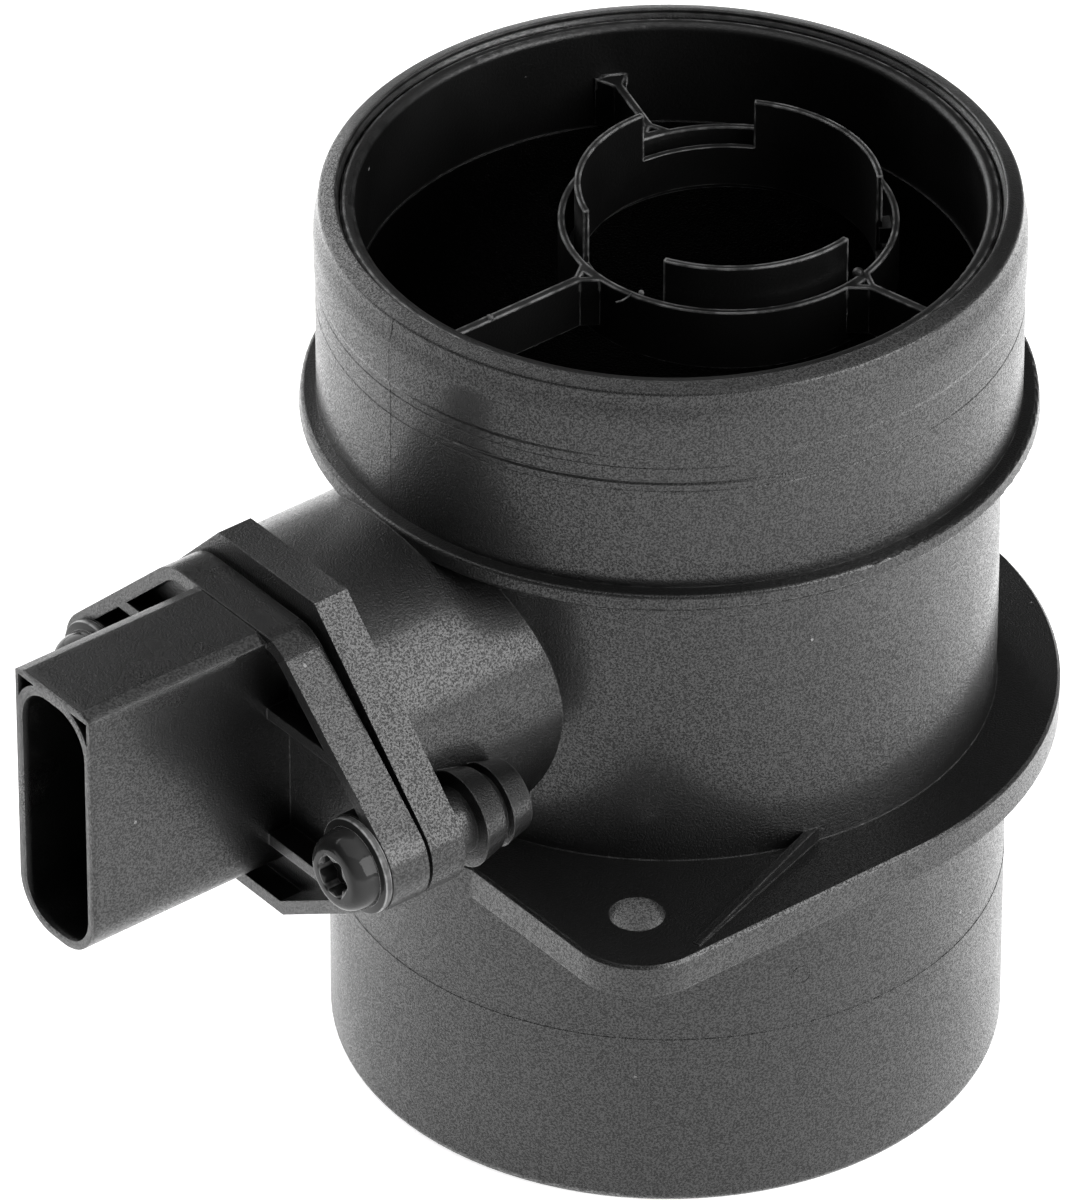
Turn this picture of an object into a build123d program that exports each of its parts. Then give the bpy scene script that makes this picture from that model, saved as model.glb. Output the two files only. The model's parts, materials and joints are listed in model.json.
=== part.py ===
from build123d import *
import os
from math import asin, atan2, cos, degrees, hypot, radians, sin

# Mass airflow sensor: flanged duct tube, three-spoke flow insert and a plug-in sensor.
# Tube axis +Z, lower tube end at z = 0, the plug-in sensor points along -X. Millimetres.

# ---- named clearances ----
SLIDE = 0.1          # pushed-together plastic parts
SEAT = 0.05          # screws in their pilot holes

# ---- duct tube ----
BORE_R = 37.0
TUBE_WALL = 2.7
SKIRT_WALL = 4.1     # spigot that plugs into the air box
SKIRT_ROUND = 1.2
COLLAR_STEP = 2.2    # hose stop, over the band
COLLAR_Z = 89.2
COLLAR_T = 2.2
RECESS_STEP = 2.1    # seat of the flow insert, over the bore
BAND_WALL = 2.9
LEAD_H = 3.8         # lead-in taper under the rim
LEAD_TAPER = 0.5
RIM_Z = 118.3
GROOVE_Z = 105.35    # pair of thin clamp grooves
GROOVE_PITCH = 1.3
GROOVE_W = 0.5
GROOVE_D = 0.3

# ---- two-bolt flange ----
FLANGE_Z = 45.9
FLANGE_T = 4.3
FLANGE_REACH = 6.3   # past the spigot
EAR_X = 44.0
EAR_CORNER_R = 9.0
BOLT_PCD = 101.0
BOLT_HOLE_R = 3.3    # M6 clearance
BOLT_ANGLE = 47.0
GUSSET_T = 1.0
GUSSET_H = 1.9
GUSSET_TUBE_ANGLE = -103.5
GUSSET_END = (-32.8, -45.9)

# ---- side boss, mounting plate and screw posts ----
BOSS_R = 21.5
AXIS_Z = 69.5        # axis of the plug-in sensor
SENSOR_BORE_R = 15.0
PLATE_X = -60.5      # face the sensor seats on
PLATE_T = 4.8
PLATE_TOP_Y = 9.2
PLATE_TOP_Z = 91.1
PLATE_BOTTOM_Z = 47.9
SCREW_Y = 25.2
SCREW_Z = 65.5
PLATE_END_R = 6.2
PILOT_R = 2.4
POST_CORE_R = 4.1
POST_R = 6.1
POST_DROP = 0.8      # each barb is smaller than the last
POST_TAPER = 0.8
POST_X = -52.2
POST_PITCH = 4.5
POST_RING_L = 3.3
POST_BORE_L = 13.0

# ---- flow insert ----
INSERT_SET = 0.3     # from the tube's rim down to the insert's top
INSERT_H = 13.6
INSERT_WALL = 1.8
RING_X = 9.0         # inner ring sits off the tube axis
RING_Y = 0.2
RING_R = 20.25
RING_WALL = 0.8
RING_H = 6.9
SPOKE_T = 1.05
SPOKE_FOOT_W = 4.2
RING_FOOT_L = 2.6    # from the ring's outer face
WALL_FOOT_L = 3.1
SPOKE_ENDS = ((178.3, 177.0), (62.4, 77.0), (-65.3, -79.8))   # angle on the wall, on the ring
LEDGE_T = 0.9

# ---- metering sleeve ----
SLEEVE_R = 18.3
SLEEVE_WALL = 0.75
SLEEVE_H = 11.8
NOTCH_H = (5.3, 4.4, 1.2)   # floors of the three notches, from the sleeve's foot
NOTCH_ANGLE = 45.0
NOTCH_START = 63.5
FOOT_T = 1.2

# ---- plug-in sensor housing ----
FLANGE_FRONT_X = -66.3
FLANGE_BACK_X = -61.0
FLANGE_FLOOR_X = -63.1
FLANGE_WALL = 1.7
SENSOR_TOP_Y = 9.5
SENSOR_FAR_Y = 11.4   # the far half is a little fuller
SENSOR_TOP_Z = 88.0
SENSOR_TOP_ROUND = 6.0
SENSOR_BOTTOM_Y = 10.0
SENSOR_BOTTOM_Z = 49.2
SENSOR_END_R = 6.2
SENSOR_FAR_R = 6.9
RIB_T = 1.5
RIB_Z = (77.0, 58.8)
SEAT_PAD_R = 17.5
PLUG_X = -92.1       # open end of the plug shroud
PLUG_Y = -0.4
PLUG_W = 14.2
PLUG_BOTTOM_Z = 52.0
PLUG_TOP_Z = 87.0
PLUG_ROUND = 6.0
PAD_Z = 87.7
PAD_EDGE = 1.7
SOCKET_X = -70.0     # floor of the socket
SOCKET_WALL = 1.1
SOCKET_ROUND = 5.0
NECK_X = -44.5
NECK_GROOVE_X = -57.4
NECK_GROOVE_W = 2.5
NECK_GROOVE_R = 12.9
BLADE_T = 11.0
BLADE_W = 21.0
BLADE_X = 18.0       # tip of the blade
BLADE_ROUND = 2.5
COVER_T = 1.2
COVER_HALF_Z = 8.8
BAY_X = (-42.0, -9.5)
BAY_HALF_Z = 7.3
BASE_T = 1.2
BOARD_T = 0.8
BOARD_END_X = -16.0
CARRIER_T = 1.0
CARRIER_W = 3.0
CARRIER_X = (-15.0, -1.5)
CHIP_T = 0.5
CHIP_W = 2.0
CHIP_X = -3.9
GEL_T = 2.0
LEG_W = 3.6          # bypass channel
LEG_X = (-4.5, 9.5)
CHANNEL_TOP = 7.4
CHANNEL_LOW = -6.6
PIN_COUNT = 5
PIN_PITCH = 5.0
PIN_INNER_PITCH = 2.6
PIN_W = 1.5
PIN_T = 0.8
PIN_TIP_X = -86.0
PIN_BEND_X = (-58.0, -50.0)
PIN_END_X = -38.5
PROBE_X = -20.0
PROBE_BEAD_R = 1.3
PROBE_LEAD_R = 0.35
PROBE_LEAD_PITCH = 1.5
PROBE_DROP = 6.0

# ---- screws ----
HEAD_WASHER_R = 6.1
HEAD_WASHER_T = 1.0
HEAD_R = 5.0
HEAD_TOP_R = 3.6
HEAD_H = 3.2
DRIVE_R = 2.5
DRIVE_D = 2.2
SCREW_L = 17.0

# derived radii and levels
MID_R = BORE_R + TUBE_WALL
SKIRT_R = BORE_R + SKIRT_WALL
FLANGE_R = SKIRT_R + FLANGE_REACH
RECESS_R = BORE_R + RECESS_STEP
BAND_R = RECESS_R + BAND_WALL          # hose spigot
RIM_R = BAND_R - LEAD_TAPER
COLLAR_R = BAND_R + COLLAR_STEP
LEAD_Z = RIM_Z - LEAD_H
INSERT_TOP_Z = RIM_Z - INSERT_SET
INSERT_Z = INSERT_TOP_Z - INSERT_H
RING_TOP_Z = INSERT_Z + RING_H
SLEEVE_TOP_Z = INSERT_Z + SLEEVE_H
BLADE_SIDE = BLADE_T / 2
COVER_Y = BLADE_SIDE - COVER_T
PIN_Y = PLUG_Y - PIN_T / 2
BOARD_Y = PIN_Y - BOARD_T
BASE_Y = BOARD_Y - BASE_T
FLANGE_TOP_Z = FLANGE_Z + FLANGE_T
PLATE_BACK_X = PLATE_X + PLATE_T
O_RING_R = (SENSOR_BORE_R - NECK_GROOVE_R) / 2


def tangent(y, z, radius, side):
    """Point where a line from (y, z) touches the round end about the screw at +Y."""
    dy, dz = SCREW_Y - y, SCREW_Z - z
    turn = atan2(dz, dy) + side * (asin(radius / hypot(dy, dz)) + radians(90))
    return SCREW_Y + radius * cos(turn), SCREW_Z + radius * sin(turn)


def half_lozenge(top_y, top_z, bottom_y, bottom_z, radius):
    """Corners of one half of a plate with a round end about the screw at +Y."""
    upper = tangent(top_y, top_z, radius, 1)
    lower = tangent(bottom_y, bottom_z, radius, -1)
    return [(top_y, top_z), upper, lower, (bottom_y, bottom_z)]


def mirrored(points):
    """The same corners on the -Y side, in reverse order."""
    return [(-y, z) for y, z in reversed(points)]


# ================= duct tube =================
with BuildPart() as tube_housing:
    with BuildSketch(Plane.XZ):
        with BuildLine():
            Polyline(
                (0, 0), (SKIRT_R, 0), (SKIRT_R, FLANGE_Z + 1),
                (MID_R, FLANGE_Z + 1), (MID_R, COLLAR_Z), (COLLAR_R, COLLAR_Z),
                (COLLAR_R - 0.3, COLLAR_Z + COLLAR_T), (BAND_R, COLLAR_Z + COLLAR_T),
                (BAND_R, LEAD_Z), (RIM_R, RIM_Z - 0.3), (RIM_R - 0.3, RIM_Z), (0, RIM_Z),
                close=True,
            )
        make_face()
    revolve(axis=Axis.Z)
    collar_edges = tube_housing.edges().filter_by(
        lambda e: e.geom_type == GeomType.CIRCLE
        and e.radius > COLLAR_R - 0.4 and e.center().Z > COLLAR_Z - 0.1
    )
    fillet(collar_edges, 0.5)
    fillet(tube_housing.edges().filter_by(lambda e: e.center().Z < 0.01), SKIRT_ROUND)
    # two-bolt flange: round, with two square-set ears
    with BuildSketch(Plane.XY.offset(FLANGE_Z)) as flange_outline:
        Circle(FLANGE_R)
        for side in (1, -1):
            with Locations((side * EAR_X / 2, side * FLANGE_R / 2)):
                Rectangle(EAR_X, FLANGE_R)
        ear_corners = flange_outline.vertices().filter_by(lambda v: v.X * v.Y > 0.9 * EAR_X * FLANGE_R)
        fillet(ear_corners, EAR_CORNER_R)
    extrude(amount=FLANGE_T)
    flange_rim = tube_housing.edges().filter_by(
        lambda e: hypot(e.center().X, e.center().Y) > 40 and abs(e.center().Z - FLANGE_TOP_Z) < 0.01
    )
    chamfer(flange_rim, 0.35)
    # thin gusset on the flange
    gusset_start = Vector(
        MID_R * cos(radians(GUSSET_TUBE_ANGLE)), MID_R * sin(radians(GUSSET_TUBE_ANGLE)), FLANGE_TOP_Z
    )
    gusset_run = Vector(*GUSSET_END, FLANGE_TOP_Z) - gusset_start
    gusset_plane = Plane(
        origin=gusset_start, x_dir=gusset_run, z_dir=(gusset_run.Y, -gusset_run.X, 0)
    )
    with BuildSketch(gusset_plane):
        with BuildLine():
            Polyline(
                (-1.5, -0.5), (gusset_run.length, -0.5), (gusset_run.length, 0.2),
                (0.5, GUSSET_H), (-1.5, GUSSET_H), close=True,
            )
        make_face()
    extrude(amount=GUSSET_T / 2, both=True)
    # side boss and mounting plate
    with BuildSketch(Plane.YZ.offset(PLATE_BACK_X - 0.5)):
        with Locations((0, AXIS_Z)):
            Circle(BOSS_R)
    extrude(amount=35)
    with BuildSketch(Plane.YZ.offset(PLATE_X)):
        with BuildLine():
            plate_half = half_lozenge(PLATE_TOP_Y, PLATE_TOP_Z, PLATE_TOP_Y, PLATE_BOTTOM_Z, PLATE_END_R)
            Polyline(*plate_half, *mirrored(plate_half), close=True)
        make_face()
        with Locations((SCREW_Y, SCREW_Z), (-SCREW_Y, SCREW_Z)):
            Circle(PLATE_END_R)
    extrude(amount=PLATE_T)
    # barbed screw posts behind the plate
    for side in (1, -1):
        with BuildSketch(Plane.YZ.offset(PLATE_BACK_X - 0.5)):
            with Locations((side * SCREW_Y, SCREW_Z)):
                Circle(POST_CORE_R)
        extrude(amount=POST_X + POST_PITCH + POST_RING_L - PLATE_BACK_X + 0.5)
        for step in range(2):
            ring_x = POST_X + step * POST_PITCH + POST_RING_L / 2
            ring_r = POST_R - step * POST_DROP
            with Locations((ring_x, side * SCREW_Y, SCREW_Z)):
                Cone(ring_r, ring_r - POST_TAPER, POST_RING_L, rotation=(0, 90, 0))
    # flow bore with the recess for the insert
    with BuildSketch(Plane.XZ):
        with BuildLine():
            Polyline(
                (0, -1), (BORE_R + 0.9, -1), (BORE_R + 0.9, 0), (BORE_R, 2.5), (BORE_R, INSERT_Z),
                (RECESS_R, INSERT_Z), (RECESS_R, RIM_Z - 0.5), (RECESS_R + 0.4, RIM_Z),
                (RECESS_R + 0.4, RIM_Z + 1), (0, RIM_Z + 1), close=True,
            )
        make_face()
    revolve(axis=Axis.Z, mode=Mode.SUBTRACT)
    # clamp grooves
    for side in (0.5, -0.5):
        with BuildSketch(Plane.XZ):
            with Locations((BAND_R - 0.1, GROOVE_Z + side * GROOVE_PITCH)):
                Rectangle(2 * GROOVE_D, GROOVE_W)
        revolve(axis=Axis.Z, mode=Mode.SUBTRACT)
    # bore for the sensor neck
    with BuildSketch(Plane.YZ.offset(PLATE_X)):
        with Locations((0, AXIS_Z)):
            Circle(SENSOR_BORE_R)
    extrude(amount=35, mode=Mode.SUBTRACT)
    # pilot holes for the two screws
    with BuildSketch(Plane.YZ.offset(PLATE_X)):
        with Locations((SCREW_Y, SCREW_Z), (-SCREW_Y, SCREW_Z)):
            Circle(PILOT_R)
    extrude(amount=POST_BORE_L, mode=Mode.SUBTRACT)
    # flange bolt holes
    with BuildSketch(Plane.XY.offset(FLANGE_Z)):
        with PolarLocations(BOLT_PCD / 2, 2, start_angle=BOLT_ANGLE):
            Circle(BOLT_HOLE_R)
    extrude(amount=FLANGE_T, mode=Mode.SUBTRACT)

# ================= flow insert: sleeve, three spokes, inner ring =================
with BuildPart() as flow_insert:
    with BuildSketch(Plane.XY.offset(INSERT_Z)):
        Circle(RECESS_R - SLIDE)
        Circle(RECESS_R - SLIDE - INSERT_WALL, mode=Mode.SUBTRACT)
        with Locations((RING_X, RING_Y)):
            Circle(RING_R)
            Circle(RING_R - RING_WALL, mode=Mode.SUBTRACT)
    extrude(amount=RING_TOP_Z - INSERT_Z)
    with BuildSketch(Plane.XY.offset(RING_TOP_Z)):
        Circle(RECESS_R - SLIDE)
        Circle(RECESS_R - SLIDE - INSERT_WALL, mode=Mode.SUBTRACT)
    extrude(amount=INSERT_TOP_Z - RING_TOP_Z)
    lip_edges = flow_insert.edges().filter_by(
        lambda e: abs(e.center().Z - INSERT_TOP_Z) < 0.01 and e.radius < RECESS_R - SLIDE - 0.1
    )
    fillet(lip_edges, 0.7)
    outer_edges = flow_insert.edges().filter_by(
        lambda e: abs(e.center().Z - INSERT_TOP_Z) < 0.01 and e.radius > RECESS_R - SLIDE - 0.1
    )
    chamfer(outer_edges, 0.35)
    for wall_angle, ring_angle in SPOKE_ENDS:
        ring_end = Vector(RING_X, RING_Y) + Vector(RING_R - 0.5, 0).rotate(Axis.Z, ring_angle)
        wall_end = Vector(RECESS_R - 1, 0).rotate(Axis.Z, wall_angle)
        run = wall_end - ring_end
        spoke_plane = Plane(origin=(ring_end.X, ring_end.Y, INSERT_Z + 0.5), x_dir=run, z_dir=(0, 0, 1))
        with BuildSketch(spoke_plane):
            with Locations((run.length / 2, 0)):
                Rectangle(run.length, SPOKE_T)
            wall_foot = (run.length - 0.9, run.length - 0.9 - WALL_FOOT_L)
            for base, tip in ((0.3, RING_FOOT_L + 0.5), wall_foot):
                with BuildLine():
                    Polyline((base, SPOKE_FOOT_W / 2), (base, -SPOKE_FOOT_W / 2), (tip, 0), close=True)
                make_face()
        extrude(amount=RING_TOP_Z - INSERT_Z - 0.5)
        # hollow of the forked foot
        with BuildSketch(Plane(origin=(ring_end.X, ring_end.Y, RING_TOP_Z), x_dir=run, z_dir=(0, 0, 1))):
            with BuildLine():
                Polyline((0.9, 0.7), (0.9, -0.7), (2.0, 0), close=True)
            make_face()
        extrude(amount=-3, mode=Mode.SUBTRACT)
    # inward ledge under the ring that carries the metering sleeve
    with BuildSketch(Plane.XY.offset(INSERT_Z - LEDGE_T)):
        with Locations((RING_X, RING_Y)):
            Circle(RING_R)
            Circle(SLEEVE_R, mode=Mode.SUBTRACT)
    extrude(amount=LEDGE_T)

# ================= metering sleeve with three tabs =================
with BuildPart() as metering_sleeve:
    with BuildSketch(Plane.XY.offset(INSERT_Z)):
        with Locations((RING_X, RING_Y)):
            Circle(RING_R - RING_WALL - SLIDE)
    extrude(amount=FOOT_T)
    with BuildSketch(Plane.XY.offset(INSERT_Z)):
        with Locations((RING_X, RING_Y)):
            Circle(SLEEVE_R)
    extrude(amount=SLEEVE_TOP_Z - INSERT_Z)
    with BuildSketch(Plane.XY.offset(INSERT_Z)):
        with Locations((RING_X, RING_Y)):
            Circle(SLEEVE_R - SLEEVE_WALL)
    extrude(amount=SLEEVE_TOP_Z - INSERT_Z, mode=Mode.SUBTRACT)
    for step, height in enumerate(NOTCH_H):
        middle = NOTCH_START + 120 * step
        floor_z = INSERT_Z + height
        with BuildSketch(Plane.XY.offset(floor_z)):
            with BuildLine():
                Polyline(
                    (RING_X, RING_Y),
                    *[
                        (RING_X + 2 * SLEEVE_R * cos(radians(middle + turn)),
                         RING_Y + 2 * SLEEVE_R * sin(radians(middle + turn)))
                        for turn in (-NOTCH_ANGLE / 2, NOTCH_ANGLE / 2)
                    ],
                    close=True,
                )
            make_face()
        extrude(amount=SLEEVE_TOP_Z - floor_z, mode=Mode.SUBTRACT)

# ================= contact pins =================
pins = []
for index in range(PIN_COUNT):
    offset_count = index - (PIN_COUNT - 1) / 2
    outer_z = AXIS_Z + offset_count * PIN_PITCH
    inner_z = AXIS_Z + offset_count * PIN_INNER_PITCH
    path = [(PIN_TIP_X, outer_z), (PIN_BEND_X[0], outer_z), (PIN_BEND_X[1], inner_z), (PIN_END_X, inner_z)]
    with BuildPart() as contact_pin:
        with BuildSketch(Plane.XZ.offset(-PIN_Y)):
            with BuildLine():
                Polyline(
                    *[(x, z + PIN_W / 2) for x, z in path],
                    *[(x, z - PIN_W / 2) for x, z in reversed(path)],
                    close=True,
                )
            make_face()
        extrude(amount=-PIN_T)
    contact_pin.part.label = f"contact_pin_{index + 1}"
    pins.append(contact_pin.part)

# ================= air temperature bead on two leads =================
with BuildPart() as temperature_bead:
    with Locations((PROBE_X, PLUG_Y, AXIS_Z - BLADE_W / 2 - PROBE_DROP)):
        Sphere(PROBE_BEAD_R)
    with BuildSketch(Plane.XY.offset(AXIS_Z - BLADE_W / 2 - PROBE_DROP)):
        with Locations((PROBE_X - PROBE_LEAD_PITCH / 2, PLUG_Y), (PROBE_X + PROBE_LEAD_PITCH / 2, PLUG_Y)):
            Circle(PROBE_LEAD_R)
    extrude(amount=PROBE_DROP + 1.5)

# ================= plug-in sensor housing =================
with BuildPart() as sensor_housing:
    # flange, hollowed from the plug side
    with BuildSketch(Plane.YZ.offset(FLANGE_FRONT_X)) as sensor_outline:
        with BuildLine():
            far_half = half_lozenge(
                SENSOR_FAR_Y, SENSOR_TOP_Z, SENSOR_BOTTOM_Y, SENSOR_BOTTOM_Z, SENSOR_FAR_R
            )
            near_half = half_lozenge(
                SENSOR_TOP_Y, SENSOR_TOP_Z, SENSOR_BOTTOM_Y, SENSOR_BOTTOM_Z, SENSOR_END_R
            )
            Polyline(*far_half, *mirrored(near_half), close=True)
        make_face()
        with Locations((-SCREW_Y, SCREW_Z)):
            Circle(SENSOR_END_R)
        with Locations((SCREW_Y, SCREW_Z)):
            Circle(SENSOR_FAR_R)
        top_corners = sensor_outline.vertices().filter_by(lambda v: v.Y > SENSOR_TOP_Z - 0.01)
        fillet(top_corners, SENSOR_TOP_ROUND)
    extrude(amount=FLANGE_BACK_X - FLANGE_FRONT_X)
    with BuildSketch(Plane.YZ.offset(FLANGE_FRONT_X)) as hollow_outline:
        add(sensor_outline.sketch_local)
        offset(amount=-FLANGE_WALL, kind=Kind.INTERSECTION)
    extrude(amount=FLANGE_FLOOR_X - FLANGE_FRONT_X, mode=Mode.SUBTRACT)
    for rib_z in RIB_Z:
        with BuildSketch(Plane.YZ.offset(FLANGE_FRONT_X)):
            add(sensor_outline.sketch_local)
            with Locations((0, rib_z)):
                Rectangle(4 * SCREW_Y, RIB_T, mode=Mode.INTERSECT)
        extrude(amount=FLANGE_BACK_X - FLANGE_FRONT_X)
    with BuildSketch(Plane.YZ.offset(FLANGE_FRONT_X)):
        with Locations((SCREW_Y, SCREW_Z), (-SCREW_Y, SCREW_Z)):
            Circle(SENSOR_END_R)
    extrude(amount=FLANGE_BACK_X - FLANGE_FRONT_X)
    # raised seats that meet the mounting plate
    with BuildSketch(Plane.YZ.offset(FLANGE_BACK_X)):
        with Locations((0, AXIS_Z)):
            Circle(SEAT_PAD_R)
        with Locations((SCREW_Y, SCREW_Z), (-SCREW_Y, SCREW_Z)):
            Circle(SENSOR_END_R - 1)
    extrude(amount=PLATE_X - FLANGE_BACK_X)
    # plug shroud: round-bottomed box with a flat pad on top
    with BuildSketch(Plane.YZ.offset(PLUG_X)):
        with Locations((PLUG_Y, (PLUG_BOTTOM_Z + PLUG_TOP_Z) / 2)):
            RectangleRounded(PLUG_W, PLUG_TOP_Z - PLUG_BOTTOM_Z, PLUG_ROUND)
    extrude(amount=FLANGE_BACK_X - PLUG_X)
    pad_y = [PLUG_Y - PLUG_W / 2, PLUG_Y + PLUG_W / 2]
    with BuildSketch(Plane.YZ.offset(PLUG_X)):
        with BuildLine():
            Polyline(
                (pad_y[0], PLUG_TOP_Z - PLUG_ROUND), (pad_y[0], PLUG_TOP_Z), (pad_y[0] + PAD_EDGE, PAD_Z),
                (pad_y[1] - PAD_EDGE, PAD_Z), (pad_y[1], PLUG_TOP_Z), (pad_y[1], PLUG_TOP_Z - PLUG_ROUND),
                close=True,
            )
        make_face()
    extrude(amount=FLANGE_FLOOR_X - PLUG_X)
    # corner pockets beside the round of the socket
    with BuildSketch(Plane.YZ.offset(PLUG_X)):
        for side in (1, -1):
            with Locations((PLUG_Y + side * (PLUG_W / 2 - 2.0), PLUG_TOP_Z - 2.0)):
                Rectangle(3.0, 3.2)
        with Locations((PLUG_Y, (PLUG_BOTTOM_Z + PLUG_TOP_Z) / 2)):
            RectangleRounded(PLUG_W, PLUG_TOP_Z - PLUG_BOTTOM_Z, PLUG_ROUND, mode=Mode.SUBTRACT)
    extrude(amount=4, mode=Mode.SUBTRACT)
    # socket
    with BuildSketch(Plane.YZ.offset(PLUG_X)):
        with Locations((PLUG_Y - 0.1, (PLUG_BOTTOM_Z + PLUG_TOP_Z) / 2)):
            RectangleRounded(
                PLUG_W - 2 * SOCKET_WALL, PLUG_TOP_Z - PLUG_BOTTOM_Z - 2 * SOCKET_WALL, SOCKET_ROUND
            )
    extrude(amount=SOCKET_X - PLUG_X, mode=Mode.SUBTRACT)
    # neck with its seal groove
    with BuildSketch(Plane.YZ.offset(FLANGE_BACK_X)):
        with Locations((0, AXIS_Z)):
            Circle(SENSOR_BORE_R - SLIDE)
    extrude(amount=NECK_X - FLANGE_BACK_X)
    with BuildSketch(Plane.YZ.offset(NECK_GROOVE_X)):
        with Locations((0, AXIS_Z)):
            Circle(SENSOR_BORE_R + 1)
            Circle(NECK_GROOVE_R, mode=Mode.SUBTRACT)
    extrude(amount=NECK_GROOVE_W, mode=Mode.SUBTRACT)
    # blade that reaches into the duct
    with BuildSketch(Plane.YZ.offset(NECK_X - 1)):
        with Locations((0, AXIS_Z)):
            RectangleRounded(BLADE_T, BLADE_W, BLADE_ROUND)
    extrude(amount=BLADE_X - NECK_X + 1)
    side_plane = Plane.XZ.offset(-BLADE_SIDE)
    cover_x = (BAY_X[0] - 1.5, BAY_X[1] + 1.5)
    bypass_x = (LEG_X[0] - 2.0, BLADE_X - 1.5)
    with BuildSketch(side_plane):
        for low, high in (cover_x, bypass_x):
            with Locations(((low + high) / 2, AXIS_Z)):
                Rectangle(high - low, 2 * COVER_HALF_Z)
    extrude(amount=COVER_T, mode=Mode.SUBTRACT)
    # electronics bay
    with BuildSketch(side_plane):
        with Locations(((BAY_X[0] + BAY_X[1]) / 2, AXIS_Z)):
            Rectangle(BAY_X[1] - BAY_X[0], 2 * BAY_HALF_Z)
    extrude(amount=BLADE_SIDE - BASE_Y, mode=Mode.SUBTRACT)
    # bypass channel: in at the lower edge, over the top and down to the outlet
    leg_centres = [x + LEG_W / 2 for x in LEG_X]
    with BuildSketch(side_plane):
        with BuildLine():
            Polyline(
                (LEG_X[1] + LEG_W, AXIS_Z - BLADE_W), (LEG_X[1] + LEG_W, AXIS_Z + CHANNEL_TOP),
                (LEG_X[0], AXIS_Z + CHANNEL_TOP), (LEG_X[0], AXIS_Z + CHANNEL_LOW),
                (LEG_X[0] + LEG_W, AXIS_Z + CHANNEL_LOW), (LEG_X[0] + LEG_W, AXIS_Z + CHANNEL_TOP - LEG_W),
                (LEG_X[1], AXIS_Z + CHANNEL_TOP - LEG_W), (LEG_X[1], AXIS_Z - BLADE_W), close=True,
            )
        make_face()
    extrude(amount=BLADE_SIDE - BOARD_Y, mode=Mode.SUBTRACT)
    with BuildSketch(side_plane):
        with Locations((leg_centres[0], AXIS_Z + CHANNEL_LOW + LEG_W / 2)):
            Rectangle(LEG_W, LEG_W)
    extrude(amount=BLADE_T, mode=Mode.SUBTRACT)
    # slot for the chip carrier between bay and channel
    with BuildSketch(Plane.XZ.offset(-(BOARD_Y + CARRIER_T))):
        with Locations(((BAY_X[1] + LEG_X[0]) / 2, AXIS_Z)):
            Rectangle(LEG_X[0] - BAY_X[1], CARRIER_W)
    extrude(amount=CARRIER_T, mode=Mode.SUBTRACT)
    # screw holes
    with BuildSketch(Plane.YZ.offset(FLANGE_FRONT_X)):
        with Locations((SCREW_Y, SCREW_Z), (-SCREW_Y, SCREW_Z)):
            Circle(PILOT_R + 0.4)
    extrude(amount=PLATE_X - FLANGE_FRONT_X, mode=Mode.SUBTRACT)
    for pin in pins:
        add(pin, mode=Mode.SUBTRACT)
    add(temperature_bead.part, mode=Mode.SUBTRACT)

# ================= seal, electronics and covers =================
with BuildPart() as neck_seal:
    # squeezed flat against the groove and the bore
    with BuildSketch(Plane.XZ):
        with Locations((NECK_GROOVE_X + NECK_GROOVE_W / 2, AXIS_Z + (SENSOR_BORE_R + NECK_GROOVE_R) / 2)):
            RegularPolygon(O_RING_R, 8, major_radius=False, rotation=22.5)
    revolve(axis=Axis((0, 0, AXIS_Z), (1, 0, 0)))

with BuildPart() as base_plate:
    with BuildSketch(Plane.XZ.offset(-BASE_Y)):
        with Locations(((BAY_X[0] + BAY_X[1]) / 2, AXIS_Z)):
            Rectangle(BAY_X[1] - BAY_X[0] - 2 * SLIDE, 2 * (BAY_HALF_Z - SLIDE))
    extrude(amount=-BASE_T)

with BuildPart() as circuit_board:
    with BuildSketch(Plane.XZ.offset(-BOARD_Y)):
        with Locations(((BAY_X[0] + 0.5 + BOARD_END_X) / 2, AXIS_Z)):
            Rectangle(BOARD_END_X - BAY_X[0] - 0.5, 2 * (BAY_HALF_Z - 0.7))
    extrude(amount=-BOARD_T)

with BuildPart() as chip_carrier:
    with BuildSketch(Plane.XZ.offset(-BOARD_Y)):
        with Locations(((CARRIER_X[0] + CARRIER_X[1]) / 2, AXIS_Z)):
            Rectangle(CARRIER_X[1] - CARRIER_X[0], CARRIER_W - SLIDE)
    extrude(amount=-(CARRIER_T - SEAT))

with BuildPart() as sensing_chip:
    with BuildSketch(Plane.XZ.offset(-(BOARD_Y + CARRIER_T - SEAT))):
        with Locations((CHIP_X + CHIP_W / 2, AXIS_Z)):
            Rectangle(CHIP_W, CHIP_W)
    extrude(amount=-CHIP_T)

with BuildPart() as gel_fill:
    with BuildSketch(Plane.XZ.offset(-PIN_Y)):
        with Locations(((BAY_X[0] + BOARD_END_X) / 2, AXIS_Z)):
            Rectangle(BOARD_END_X - BAY_X[0], 2 * BAY_HALF_Z)
    extrude(amount=-GEL_T)
    for pin in pins:
        add(pin, mode=Mode.SUBTRACT)

with BuildPart() as electronics_cover:
    with BuildSketch(Plane.XZ.offset(-COVER_Y)):
        with Locations(((cover_x[0] + cover_x[1]) / 2, AXIS_Z)):
            Rectangle(cover_x[1] - cover_x[0] - 2 * SLIDE, 2 * (COVER_HALF_Z - SLIDE))
    extrude(amount=-COVER_T)

with BuildPart() as bypass_cover:
    with BuildSketch(Plane.XZ.offset(-COVER_Y)):
        with Locations(((bypass_x[0] + bypass_x[1]) / 2, AXIS_Z)):
            Rectangle(bypass_x[1] - bypass_x[0] - 2 * SLIDE, 2 * (COVER_HALF_Z - SLIDE))
    extrude(amount=-COVER_T)

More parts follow.
